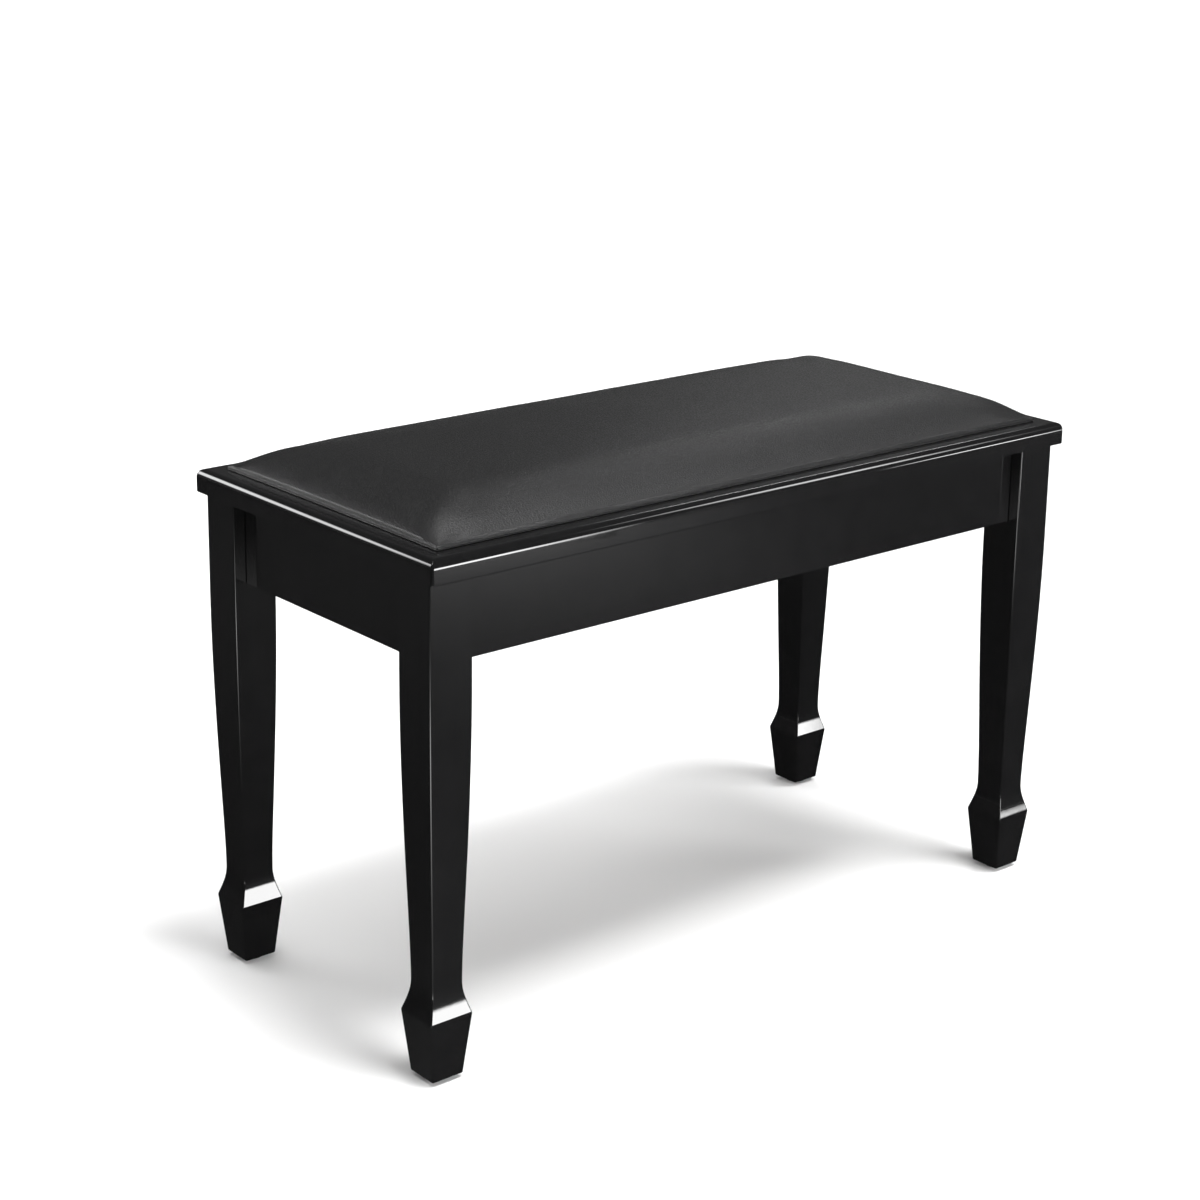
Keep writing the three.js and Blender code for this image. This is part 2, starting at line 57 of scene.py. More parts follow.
class Nodes:
    """A short way to write a node tree."""

    def __init__(self, tree):
        self.tree = tree
        tree.nodes.clear()

    def add(self, kind, inputs=None, **props):
        node = self.tree.nodes.new(kind)
        for key, value in props.items():
            setattr(node, key, value)
        for key, value in (inputs or {}).items():
            if isinstance(value, bpy.types.NodeSocket):
                self.tree.links.new(value, node.inputs[key])
            else:
                node.inputs[key].default_value = value
        return node

    def math(self, operation, a, b=0.0, clamp=False):
        return self.add("ShaderNodeMath", {0: a, 1: b}, operation=operation, use_clamp=clamp).outputs[0]

    def ramp(self, value, stops, mode="LINEAR"):
        node = self.add("ShaderNodeValToRGB", {"Fac": value})
        node.color_ramp.interpolation = mode
        elements = node.color_ramp.elements
        while len(elements) < len(stops):
            elements.new(0.5)
        for element, (place, colour) in zip(elements, stops):
            element.position = place
            level = colour if isinstance(colour, tuple) else (colour,) * 3
            element.color = (*level, 1)
        return node.outputs["Color"]

    def noise(self, vector, scale, detail=3.0, roughness=0.5, distortion=0.0):
        inputs = {"Vector": vector, "Scale": scale, "Detail": detail, "Roughness": roughness}
        return self.add("ShaderNodeTexNoise", {**inputs, "Distortion": distortion}).outputs["Fac"]

    def bump(self, height, distance, strength=1.0):
        inputs = {"Height": height, "Distance": distance, "Strength": strength}
        return self.add("ShaderNodeBump", inputs).outputs["Normal"]

    def stretched(self, vector, scale):
        return self.add("ShaderNodeMapping", {"Vector": vector, "Scale": scale}).outputs["Vector"]


def new_material(name, shown):
    """An empty node material, its viewport colour set. Also returns its nodes and object coordinates."""
    material = bpy.data.materials.new(name)
    material.use_nodes = True
    material.diffuse_color = (*shown, 1)
    nodes = Nodes(material.node_tree)
    place = nodes.add("ShaderNodeTexCoord").outputs["Object"]
    return material, nodes, place


def principled(nodes, inputs):
    shader = nodes.add("ShaderNodeBsdfPrincipled", inputs)
    nodes.add("ShaderNodeOutputMaterial", {"Surface": shader.outputs[0]})


# ---- Materials --------------------------------------------------------------------


def lacquer():
    """Polished black lacquer: a clear coat with a faint orange peel over near-black colour."""
    material, n, place = new_material("gloss_lacquer", (0.01, 0.01, 0.011))
    peel = n.noise(place, 150.0, 2.0, 0.45)
    wave = n.noise(place, 14.0, 1.0, 0.4)
    haze = n.noise(place, 38.0, 5.0, 0.6)
    height = n.math("ADD", n.math("MULTIPLY", peel, 0.10), n.math("MULTIPLY", wave, 1.0))
    normal = n.bump(height, 0.00022, 0.55)
    principled(n, {
        "Base Color": n.ramp(haze, [(0.3, (0.0026, 0.0026, 0.0028)), (0.75, (0.0042, 0.0041, 0.0043))]),
        "Roughness": n.ramp(haze, [(0.25, 0.3), (0.8, 0.42)]),
        "Specular IOR Level": 0.03,
        "Coat Weight": 1.0,
        "Coat Roughness": 0.035,
        "Coat IOR": 1.5,
        "Normal": normal,
        "Coat Normal": normal,
    })
    return material


def satin_black():
    """Thin sprayed black on the hidden faces, with the wood's grain telegraphing through."""
    material, n, place = new_material("satin_black", (0.02, 0.02, 0.02))
    grain = n.noise(n.stretched(place, (14.0, 190.0, 190.0)), 1.0, 6.0, 0.6, 0.4)
    mottle = n.noise(place, 26.0, 4.0, 0.55)
    principled(n, {
        "Base Color": n.ramp(mottle, [(0.3, (0.008, 0.008, 0.0085)), (0.75, (0.016, 0.0155, 0.015))]),
        "Roughness": n.ramp(grain, [(0.3, 0.42), (0.8, 0.6)]),
        "Specular IOR Level": 0.4,
        "Normal": n.bump(grain, 0.00025, 0.5),
    })
    return material


def leatherette():
    """Black grained leatherette: pebbles, the creases between them and a fine pore, with painted shade in the
    creases.
    """
    material, n, place = new_material("leatherette", (0.03, 0.03, 0.03))
    warp = n.add("ShaderNodeTexNoise", {"Vector": place, "Scale": 300.0, "Detail": 2.0}).outputs["Color"]
    drift = n.add("ShaderNodeVectorMath", {0: warp, 1: (0.5, 0.5, 0.5)}, operation="SUBTRACT").outputs[0]
    drift = n.add("ShaderNodeVectorMath", {0: drift, "Scale": 0.0016}, operation="SCALE").outputs[0]
    where = n.add("ShaderNodeVectorMath", {0: place, 1: drift}, operation="ADD").outputs[0]
    pebbles = n.add("ShaderNodeTexVoronoi", {"Vector": where, "Scale": 340.0}, feature="DISTANCE_TO_EDGE")
    fine = n.add("ShaderNodeTexVoronoi", {"Vector": where, "Scale": 860.0}, feature="DISTANCE_TO_EDGE")
    crease = n.ramp(pebbles.outputs["Distance"], [(0.0, 0.0), (0.22, 0.8), (0.6, 1.0)], "EASE")
    fine_crease = n.ramp(fine.outputs["Distance"], [(0.0, 0.0), (0.2, 1.0)], "EASE")
    pore = n.noise(place, 2600.0, 2.0, 0.6)
    broad = n.noise(place, 16.0, 3.0, 0.5)
    height = n.math("ADD", n.math("MULTIPLY", crease, 0.62), n.math("MULTIPLY", fine_crease, 0.26))
    height = n.math("ADD", height, n.math("MULTIPLY", pore, 0.12))
    # Base colour: painted shade darkens the creases between the pebbles, and the broad noise adds a random
    # tone.
    crease_shade_and_tone = n.math("ADD", n.math("MULTIPLY", crease, 0.7), n.math("MULTIPLY", broad, 0.3))
    shine = n.math("ADD", n.math("MULTIPLY", broad, 0.3), n.math("MULTIPLY", crease, 0.5))
    principled(n, {
        "Base Color": n.ramp(crease_shade_and_tone, [(0.1, (0.0035, 0.0035, 0.0037)), (0.9, (0.0085, 0.0084, 0.0087))]),
        "Roughness": n.ramp(shine, [(0.15, 0.46), (0.65, 0.28)]),
        "Specular IOR Level": 0.5,
        "Normal": n.bump(height, 0.00013, 1.0),
    })
    return material


VENEER = 0.0013  # thickness of one ply, in metres


def wood(name, along, light, dark, rough, layers=False):
    """Bare wood with its grain along one axis; plywood also shows its layers on the edges."""
    material, n, place = new_material(name, light)
    scale = [95.0, 95.0, 95.0]
    scale["xyz".index(along)] = 4.5
    grain = n.noise(n.stretched(place, tuple(scale)), 1.0, 7.0, 0.62, 0.9)
    streak = n.noise(n.stretched(place, tuple(s * 6 for s in scale)), 1.0, 3.0, 0.7)
    broad = n.noise(n.stretched(place, tuple(s * 0.12 for s in scale)), 1.0, 3.0, 0.5)
    mixed = n.math("ADD", n.math("MULTIPLY", grain, 0.55), n.math("MULTIPLY", streak, 0.2))
    mixed = n.math("ADD", mixed, n.math("MULTIPLY", broad, 0.25))
    colour = n.ramp(mixed, [(0.3, dark), (0.52, light), (0.75, tuple(min(1, c * 1.12) for c in light))])
    if layers:
        height = n.add("ShaderNodeSeparateXYZ", {"Vector": place}).outputs["Z"]
        ply = n.math("MULTIPLY", n.math("PINGPONG", height, VENEER), 1 / VENEER)
        stripe = n.ramp(ply, [(0.42, 0.0), (0.58, 0.75)])
        facing = n.add("ShaderNodeNewGeometry").outputs["Normal"]
        up = n.math("ABSOLUTE", n.add("ShaderNodeSeparateXYZ", {"Vector": facing}).outputs["Z"])
        edge = n.math("MULTIPLY", stripe, n.math("SUBTRACT", 1.0, up, clamp=True))
        shade = (*[c * 0.5 for c in dark], 1)
        colour = n.add("ShaderNodeMixRGB", {"Fac": edge, "Color1": colour, "Color2": shade}).outputs[0]
    principled(n, {
        "Base Color": colour,
        "Roughness": n.ramp(streak, [(0.3, rough - 0.08), (0.8, rough + 0.08)]),
        "Specular IOR Level": 0.3,
        "Normal": n.bump(n.math("ADD", grain, streak), 0.00018, 0.5),
    })
    return material


def zinc():
    """Bright zinc plate over pressed steel, with rolling lines and small scuffs."""
    material, n, place = new_material("zinc_plate", (0.6, 0.6, 0.62))
    lines = n.noise(n.stretched(place, (90.0, 2200.0, 900.0)), 1.0, 3.0, 0.6)
    cloud = n.noise(place, 120.0, 5.0, 0.6)
    scuff = n.ramp(n.noise(place, 420.0, 6.0, 0.75), [(0.52, 0.0), (0.72, 1.0)])
    principled(n, {
        "Base Color": n.ramp(cloud, [(0.3, (0.44, 0.45, 0.47)), (0.72, (0.68, 0.68, 0.67))]),
        "Metallic": 1.0,
        "Roughness": n.math("ADD", n.ramp(lines, [(0.3, 0.2), (0.8, 0.34)]), n.math("MULTIPLY", scuff, 0.16)),
        "Normal": n.bump(lines, 0.00004, 0.5),
    })
    return material


def moulded(name, colour, rough, grain):
    """Moulded plastic or rubber with a fine spark-eroded texture."""
    material, n, place = new_material(name, colour)
    texture = n.noise(place, grain, 4.0, 0.6)
    cloud = n.noise(place, 160.0, 3.0, 0.5)
    dull, bright = (tuple(c * factor for c in colour) for factor in (0.75, 1.3))
    principled(n, {
        "Base Color": n.ramp(cloud, [(0.3, dull), (0.75, bright)]),
        "Roughness": n.ramp(texture, [(0.3, rough - 0.07), (0.75, rough + 0.09)]),
        "Specular IOR Level": 0.4,
        "Normal": n.bump(texture, 0.00006, 0.6),
    })
    return material


LACQUER = lacquer()
SATIN = satin_black()
LEATHER = leatherette()
PLY = wood("plywood", "x", (0.47, 0.31, 0.165), (0.25, 0.145, 0.068), 0.62, layers=True)
PINE_X = wood("softwood_long", "x", (0.56, 0.38, 0.2), (0.34, 0.2, 0.09), 0.6)
PINE_Z = wood("softwood_block", "z", (0.53, 0.35, 0.18), (0.3, 0.17, 0.075), 0.62)
ZINC = zinc()
PLASTIC = moulded("glide_plastic", (0.014, 0.014, 0.015), 0.45, 1500.0)
RUBBER = moulded("bumper_rubber", (0.017, 0.017, 0.018), 0.72, 2200.0)


# ---- Mesh helpers -------------------------------------------------------------------


def make(name, vertices, faces, materials):
    """A smooth-shaded mesh object, its normals weighted by face area."""
    mesh = bpy.data.meshes.new(name)
    mesh.from_pydata([tuple(v) for v in vertices], [], faces)
    for material in materials if isinstance(materials, (list, tuple)) else [materials]:
        mesh.materials.append(material)
    piece = bpy.data.objects.new(name, mesh)
    scene.collection.objects.link(piece)
    tidy(piece)
    return piece


def tidy(piece):
    """Merges stray doubles, faces everything outwards and shades it smooth."""
    bm = bmesh.new()
    bm.from_mesh(piece.data)
    bmesh.ops.remove_doubles(bm, verts=bm.verts, dist=1e-7)
    bmesh.ops.recalc_face_normals(bm, faces=bm.faces)
    bm.to_mesh(piece.data)
    bm.free()
    piece.data.polygons.foreach_set("use_smooth", [True] * len(piece.data.polygons))
    piece.data.set_sharp_from_angle(angle=math.radians(38))
    weighted = piece.modifiers.new("weighted", "WEIGHTED_NORMAL")
    weighted.weight = 60
    weighted.keep_sharp = True
    piece.data.update()


def loft(name, rings, materials):
    """Closed rings of equal length joined by quads, and capped."""
    count = len(rings[0])
    vertices = [p for ring in rings for p in ring]
    faces = []
    for k in range(len(rings) - 1):
        a, b = k * count, (k + 1) * count
        for i in range(count):
            j = (i + 1) % count
            faces.append((a + i, a + j, b + j, b + i))
    faces.append(tuple(range(count))[::-1])
    faces.append(tuple(range(len(vertices) - count, len(vertices))))
    return make(name, vertices, faces, materials)


def rounded(cx, cy, hx, hy, radius, z, steps=6):
    """A rectangle with round corners, as a ring of points."""
    radius = max(min(radius, hx, hy), 1e-5)
    points = []
    for sx, sy, start in ((1, 1, 0), (-1, 1, 90), (-1, -1, 180), (1, -1, 270)):
        for i in range(steps + 1):
            angle = math.radians(start + 90 * i / steps)
            x = cx + sx * (hx - radius) + radius * math.cos(angle)
            y = cy + sy * (hy - radius) + radius * math.sin(angle)
            points.append((x, y, z))
    return points


def lathe(name, profile, material, steps=48):
    """A turned piece about Z from (radius, z) points that start and end on the axis."""
    rings = [[(r * math.cos(t), r * math.sin(t), z) for t in np.linspace(0, 2 * math.pi, steps, False)]
             for r, z in profile if r > 0]
    return loft(name, rings, material)


def slab(name, low, high, edge, materials, pick=None, segments=3):
    """A box whose edges are rounded. pick(normal) gives a face's material index."""
    bm = bmesh.new()
    bmesh.ops.create_cube(bm, size=1.0)
    for v in bm.verts:
        v.co = [low[k] + (v.co[k] + 0.5) * (high[k] - low[k]) for k in range(3)]
    bmesh.ops.bevel(bm, geom=bm.edges[:], offset=edge, segments=segments, profile=0.5, affect="EDGES")
    return from_bmesh(name, bm, materials, pick)


def prism(name, outline, z0, z1, edge, materials, pick=None, segments=2):
    """An outline in X and Y raised from z0 to z1, with its edges rounded."""
    bm = bmesh.new()
    face = bm.faces.new([bm.verts.new((x, y, z0)) for x, y in outline])
    raised = bmesh.ops.extrude_face_region(bm, geom=[face])
    upper = [v for v in raised["geom"] if isinstance(v, bmesh.types.BMVert)]
    bmesh.ops.translate(bm, vec=(0, 0, z1 - z0), verts=upper)
    bmesh.ops.bevel(bm, geom=bm.edges[:], offset=edge, segments=segments, profile=0.5, affect="EDGES")
    return from_bmesh(name, bm, materials, pick)


def from_bmesh(name, bm, materials, pick=None):
    """Turns a bmesh into a finished piece. pick(normal) gives a face's material index."""
    bmesh.ops.recalc_face_normals(bm, faces=bm.faces)
    mesh = bpy.data.meshes.new(name)
    bm.to_mesh(mesh)
    bm.free()
    for material in materials if isinstance(materials, (list, tuple)) else [materials]:
        mesh.materials.append(material)
    if pick:
        mesh.polygons.foreach_set("material_index", [pick(p.normal) for p in mesh.polygons])
    piece = bpy.data.objects.new(name, mesh)
    scene.collection.objects.link(piece)
    tidy(piece)
    return piece


def carve(piece, cutters):
    """Subtracts the cutters from a piece for good."""
    for cutter in cutters:
        boolean = piece.modifiers.new("cut", "BOOLEAN")
        boolean.object = cutter
        boolean.operation = "DIFFERENCE"
        boolean.solver = "EXACT"
    weighted = [m for m in piece.modifiers if m.type == "WEIGHTED_NORMAL"]
    for modifier in weighted:
        piece.modifiers.remove(modifier)
    bpy.context.view_layer.update()
    evaluated = piece.evaluated_get(bpy.context.evaluated_depsgraph_get())
    mesh = bpy.data.meshes.new_from_object(evaluated)
    piece.modifiers.clear()
    piece.data = mesh
    for cutter in cutters:
        bpy.data.objects.remove(cutter)
    tidy(piece)
    return piece


def place(piece, body, slot, *nodes):
    """Puts a finished piece on its body in place of its CAD nodes."""
    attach(piece, body)
    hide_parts(*nodes)


def keep(node, material, edge=0.15 * MM):
    """Keeps a CAD node, with its sharp edges eased and a new material."""
    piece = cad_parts[node]
    piece.data.materials.clear()
    piece.data.materials.append(material)
    piece.data.polygons.foreach_set("use_smooth", [True] * len(piece.data.polygons))
    weld = piece.modifiers.new("weld", "WELD")
    weld.merge_threshold = 1e-6
    ease = piece.modifiers.new("ease", "BEVEL")
    ease.width = edge
    ease.segments = 2
    ease.limit_method = "ANGLE"
    ease.angle_limit = math.radians(34)
    piece.modifiers.new("weighted", "WEIGHTED_NORMAL")


# ---- Legs and glides --------------------------------------------------------------------


def bezier(a, b, c, d, steps):
    """Points along a cubic curve in the plane, after its first end."""
    points = []
    for i in range(1, steps + 1):
        t = i / steps
        s = 1 - t
        weights = (s**3, 3 * s * s * t, 3 * s * t * t, t**3)
        points.append(tuple(sum(w * p[k] for w, p in zip(weights, (a, b, c, d))) for k in range(2)))
    return points


def soften(points, index, reach, steps=5):
    """Rounds the corner at points[index] over a reach on either side."""
    before, corner, after = (Vector(points[index + k]) for k in (-1, 0, 1))
    start = corner + (before - corner).normalized() * reach
    end = corner + (after - corner).normalized() * reach
    arc = []
    for i in range(steps + 1):
        t = i / steps
        arc.append(tuple((1 - t) ** 2 * start + 2 * t * (1 - t) * corner + t * t * end))
    return points[:index] + arc + points[index + 1:]


# Half widths and heights of a leg
LEG_HEAD, LEG_ANKLE, LEG_TOE = 21.25 * MM, 15.5 * MM, 15.75 * MM
TAPER_TOP_Z, ANKLE_Z, SPADE_Z = 348 * MM, 88 * MM, 60 * MM
LEG_ARRIS = 1.3 * MM
TOE_LIP = 0.9 * MM


def leg_profile(bottom, top, foot):
    """(half width, z) down the leg: head, taper, ankle, cove and spade foot."""
    head, ankle, spade, toe = LEG_HEAD, LEG_ANKLE, foot / 2, LEG_TOE
    high, low, widest = TAPER_TOP_Z, ANKLE_Z, SPADE_Z
    fall = high - low
    points = [(head, top), (head, high + 10 * MM), (head, high)]
    points += bezier((head, high), (head, high - 0.42 * fall), (ankle, low + 0.16 * fall), (ankle, low), 30)
    flare = (ankle + 2.2 * MM, low - 16 * MM)
    points += bezier((ankle, low), (ankle, low - 9 * MM), flare, (spade, widest), 14)
    edge = len(points) - 1
    points += [(spade - (spade - toe) * 0.5, (widest + bottom) / 2), (toe, bottom)]
    return soften(points, edge, 1.1 * MM)


def leg(corner):
    node = f"leg_{corner}"
    low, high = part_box(node)
    cx, cy = (low.x + high.x) / 2, (low.y + high.y) / 2
    profile = leg_profile(low.z, high.z, high.x - low.x)
    lip, toe = TOE_LIP, profile[-1][0]
    profile[-1] = (toe + lip * 0.1, low.z + lip)
    for t in (30, 60, 90):
        a = math.radians(t)
        profile.append((toe - lip * (1 - math.cos(a)), low.z + lip * (1 - math.sin(a))))
    rings = [rounded(cx, cy, w, w, LEG_ARRIS, z) for w, z in profile]
    place(loft(f"fine_{node}", rings, LACQUER), "frame", "lacquer", node)


def glide(corner):
    """A domed plastic glide on its nail."""
    node = f"glide_{corner}"
    low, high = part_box(node)
    cx, cy = (low.x + high.x) / 2, (low.y + high.y) / 2
    r = (high.x - low.x) / 2
    nail, top = 1.25 * MM, 3.7 * MM
    profile = [(0.2 * MM, 0), (r * 0.55, 0), (r - 2.2 * MM, 0.1 * MM), (r - 1.1 * MM, 0.45 * MM),
               (r - 0.4 * MM, 1.1 * MM), (r, 2.0 * MM), (r, 3.1 * MM), (r - 0.3 * MM, 3.6 * MM),
               (r - 0.9 * MM, top), (nail, top), (nail, 16 * MM), (0.2 * MM, 18 * MM)]
    piece = lathe(f"fine_{node}", profile, PLASTIC, 56)
    piece.data.transform(Matrix.Translation((cx, cy, low.z)))
    place(piece, "frame", "plastic", node)


for corner in CORNERS:
    leg(corner)
    glide(corner)


# ---- Aprons, compartment floor, cleats ------------------------------------------------------


def apron(side, outward):
    """Glossy outside and lower edge, satin inside and on top."""
    node = f"apron_{side}"
    low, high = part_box(node)
    out = Vector(outward)

    def pick(normal):
        return 0 if normal.dot(out) > -0.3 and normal.z < 0.6 else 1

    place(slab(f"fine_{node}", low, high, 1.1 * MM, [LACQUER, SATIN], pick, 4), "frame", "lacquer", node)


for side, outward in (("front", (0, -1, 0)), ("rear", (0, 1, 0)), ("left", (-1, 0, 0)), ("right", (1, 0, 0))):
    apron(side, outward)

for side in ("front", "rear"):
    node = f"cleat_{side}"
    low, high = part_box(node)
    place(slab(f"fine_{node}", low, high, 0.6 * MM, PINE_X), "frame", "plywood", node)


INNER_X, INNER_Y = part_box("leg_rear_right")[0].xy  # the legs' inner faces


def compartment_floor():
    """Plywood notched round the legs, its underside sprayed black."""
    node = "compartment_floor"
    low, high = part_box(node)
    x, y = INNER_X - 0.5 * MM, INNER_Y - 0.5 * MM
    outline = [(low.x, -y), (-x, -y), (-x, low.y), (x, low.y), (x, -y), (high.x, -y),
               (high.x, y), (x, y), (x, high.y), (-x, high.y), (-x, y), (low.x, y)]

    def pick(normal):
        return 1 if normal.z < -0.5 else 0

    piece = prism(f"fine_{node}", outline, low.z, high.z, 0.4 * MM, [PLY, SATIN], pick)
    place(piece, "frame", "plywood", node)


compartment_floor()


# ---- Corner blocks and their bolts -----------------------------------------------------------


BLOCK_REACH = 31 * MM  # how far a block's bolted face stands off the leg, summed along both walls
THREADS, THREAD_PITCH = 29, 1.25 * MM


def corner_block(corner, sx, sy):
    """A five-sided block behind the leg, its slanting face square to the bolt."""
    node = f"corner_block_{corner}"
    low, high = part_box(node)
    u = abs(high.x if sx > 0 else low.x) - INNER_X
    v = abs(high.y if sy > 0 else low.y) - INNER_Y
    reach, fit = BLOCK_REACH, 0.5 * MM
    outline = [(u, -fit), (u, -reach - u), (-reach - v, v), (-fit, v), (-fit, -fit)]
    outline = [(sx * (INNER_X + a), sy * (INNER_Y + b)) for a, b in outline]
    piece = prism(f"fine_{node}", outline, low.z, high.z, 0.8 * MM, PINE_Z, segments=3)
    place(piece, "frame", "plywood", node)


def bolt(corner, sx, sy):
    """A button-head bolt with a hexagon socket, threaded along its hidden shank."""
    node = f"leg_bolt_{corner}"
    low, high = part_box(node)
    turn = np.linspace(0, 2 * math.pi, 48, False)

    def circle(r, z):
        return [(r * math.cos(t), r * math.sin(t), z) for t in turn]

    def hexagon(r, z):
        ring = []
        for t in turn:
            local = (t % (math.pi / 3)) - math.pi / 6
            d = r * math.cos(math.pi / 6) / math.cos(local)
            ring.append((d * math.cos(t), d * math.sin(t), z))
        return ring

    rings = [circle(2.9 * MM, -55.6 * MM), circle(3.3 * MM, -55.2 * MM)]
    for i in range(THREADS):
        z = -54.6 * MM + i * THREAD_PITCH
        rings += [circle(3.9 * MM, z), circle(3.35 * MM, z + 0.62 * MM)]
    rings += [circle(3.95 * MM, -17 * MM), circle(3.95 * MM, 0)]
    for r, z in ((9.7, 0), (10, 0.35), (10, 1.1), (9.7, 1.4), (7.7, 1.5)):
        rings.append(circle(r * MM, z * MM))
    for k in range(1, 9):
        a = math.radians(90 * k / 9)
        rings.append(circle((3.5 + 4.1 * math.cos(a)) * MM, (1.5 + 3.7 * math.sin(a)) * MM))
    rings.append(circle(3.4 * MM, 5.2 * MM))
    rings += [hexagon(r * MM, z * MM) for r, z in ((2.95, 5.15), (2.9, 5.0), (2.9, 2.6))]
    piece = loft(f"fine_{node}", rings, ZINC)
    towards = Vector((sx, sy, 0)).normalized()
    face = Vector((sx * (INNER_X - BLOCK_REACH / 2), sy * (INNER_Y - BLOCK_REACH / 2), (low.z + high.z) / 2))
    turned = Vector((0, 0, -1)).rotation_difference(towards).to_matrix().to_4x4()
    piece.data.transform(Matrix.Translation(face - towards * 0.3 * MM) @ turned)
    place(piece, "frame", "steel", node)


for corner, (sx, sy) in CORNERS.items():
    corner_block(corner, sx, sy)
    bolt(corner, sx, sy)


# ---- Lid board ---------------------------------------------------------------------------------


LEAF_POCKET_Z = 443 * MM  # top of the pockets for the hinge knuckles


def lid_board():
    """A board with a rounded upper edge, pockets for the hinges and bores for the cushion's screws."""
    low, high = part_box("lid_board")
    hx, hy = (high.x - low.x) / 2, (high.y - low.y) / 2
    rings = []

    def ring(inset, z, corner):
        rings.append(rounded(0, 0, hx - inset, hy - inset, max(corner - inset, 0.25 * MM), z, 8))

    corner, lip, top = 2.6 * MM, 1.0 * MM, 7.5 * MM
    for t in (90, 60, 30, 0):
        a = math.radians(t)
        ring(lip * (1 - math.cos(a)), low.z + lip * (1 - math.sin(a)), corner)
    for i in range(0, 19):
        a = math.radians(90 * i / 18)
        ring(top * (1 - math.cos(a)), high.z - top + top * math.sin(a), corner)
    ring(top + 0.4 * MM, high.z, corner)
    piece = loft("fine_lid_board", rings, [LACQUER, SATIN])
    cutters = []
    edge, beyond = 3 * MM, 0.01
    for side in ("left", "right"):
        a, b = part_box(f"hinge_lid_leaf_{side}")
        for front, top_z in ((a.y - 1 * MM, LEAF_POCKET_Z), (b.y - 7 * MM, b.z + 0.5 * MM)):
            pocket_low = (a.x - edge, front, low.z - beyond)
            cutters.append(cutter(pocket_low, (b.x + edge, high.y + beyond, top_z)))
    for name in CORNERS:
        a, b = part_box(f"cushion_screw_{name}")
        centre = (a + b) / 2
        profile = [(0.1 * MM, 0), (6 * MM, 0), (6 * MM, 13.5 * MM), (0.1 * MM, 13.5 * MM)]
        bore = lathe("bore", profile, SATIN, 40)
        bore.modifiers.clear()
        bore.data.transform(Matrix.Translation((centre.x, centre.y, low.z - 10 * MM)))
        cutters.append(bore)
    carve(piece, cutters)
    for polygon in piece.data.polygons:
        x, y, z = polygon.center
        recessed = z < low.z + 4 * MM and abs(x) < hx - 2 * MM and abs(y) < hy - 2 * MM
        polygon.material_index = 1 if polygon.normal.z < -0.85 or recessed else 0
    place(piece, "lid", "lacquer", "lid_board")


def cutter(low, high):
    """A plain box to subtract."""
    bm = bmesh.new()
    bmesh.ops.create_cube(bm, size=1.0)
    for v in bm.verts:
        v.co = [low[k] + (v.co[k] + 0.5) * (high[k] - low[k]) for k in range(3)]
    mesh = bpy.data.meshes.new("cutter")
    bm.to_mesh(mesh)
    bm.free()
    piece = bpy.data.objects.new("cutter", mesh)
    scene.collection.objects.link(piece)
    return piece


lid_board()


# ---- Cushion -----------------------------------------------------------------------------------


PAD_LOW, PAD_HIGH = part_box("cushion_cover")
LID_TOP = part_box("lid_board")[1].z
PAD_X, PAD_Y = (PAD_HIGH.x - PAD_LOW.x) / 2, (PAD_HIGH.y - PAD_LOW.y) / 2
CROWN = 32 * MM  # at rest under its cover, a little below the CAD crown
STUFFING = 2.4 * MM  # how much of the crown comes from the pressure inside
WALL = 3.2 * MM  # height at which the side turns into the crown
EDGE_LIFT = 0.6 * MM  # how far the crown's rim stands above the wall
RIM_INSET = 1.3 * MM  # how far that rim lies inside the outline
SHOULDER = 56 * MM  # how far in from the side the crown levels off
# (inset, height) in mm down the side: rounded wall, stitched groove, hem, and the recess for the board
HEM = [(0.85, 3.4), (0.5, 2.85), (0.25, 2.25), (0.14, 1.7), (0.3, 1.25), (0.42, 1.0), (0.24, 0.8),
       (0.16, 0.55), (0.3, 0.33), (0.75, 0.22), (6.4, 0.22), (6.5, 0.5), (6.5, 5.5)]
FINE_GRID, CLOTH_GRID = (281, 131), (105, 49)  # columns and rows
CLOTH_STEPS = 20
CLOTH_CAP = 4 * MM  # the furthest that the cloth may move a point


def swell(x, y):
    """Height of the stuffed crown above its edge, from 0 at the sides to 1 in the middle."""
    def shoulder(inside):
        return 1 - (1 - np.clip(inside / SHOULDER, 0, 1)) ** 2.6

    both = shoulder(PAD_X - np.abs(x)) * shoulder(PAD_Y - np.abs(y))
    dome = np.clip((1 - (x / PAD_X) ** 2) * (1 - (y / PAD_Y) ** 2), 0, 1)
    return 0.83 * both**0.9 + 0.17 * dome


def pad_surface(columns, rows, crown):
    """A grid of the cushion's top, in rows along X, with its lines closer near the edges."""
    def spread(count):
        t = np.linspace(-1, 1, count)
        return 0.32 * t + 0.68 * np.sin(t * math.pi / 2)

    u, v = np.meshgrid(spread(columns), spread(rows))
    x, y = u * (PAD_X - RIM_INSET), v * (PAD_Y - RIM_INSET)
    rim = WALL + EDGE_LIFT
    return x, y, LID_TOP + rim + (crown - rim) * swell(x, y)


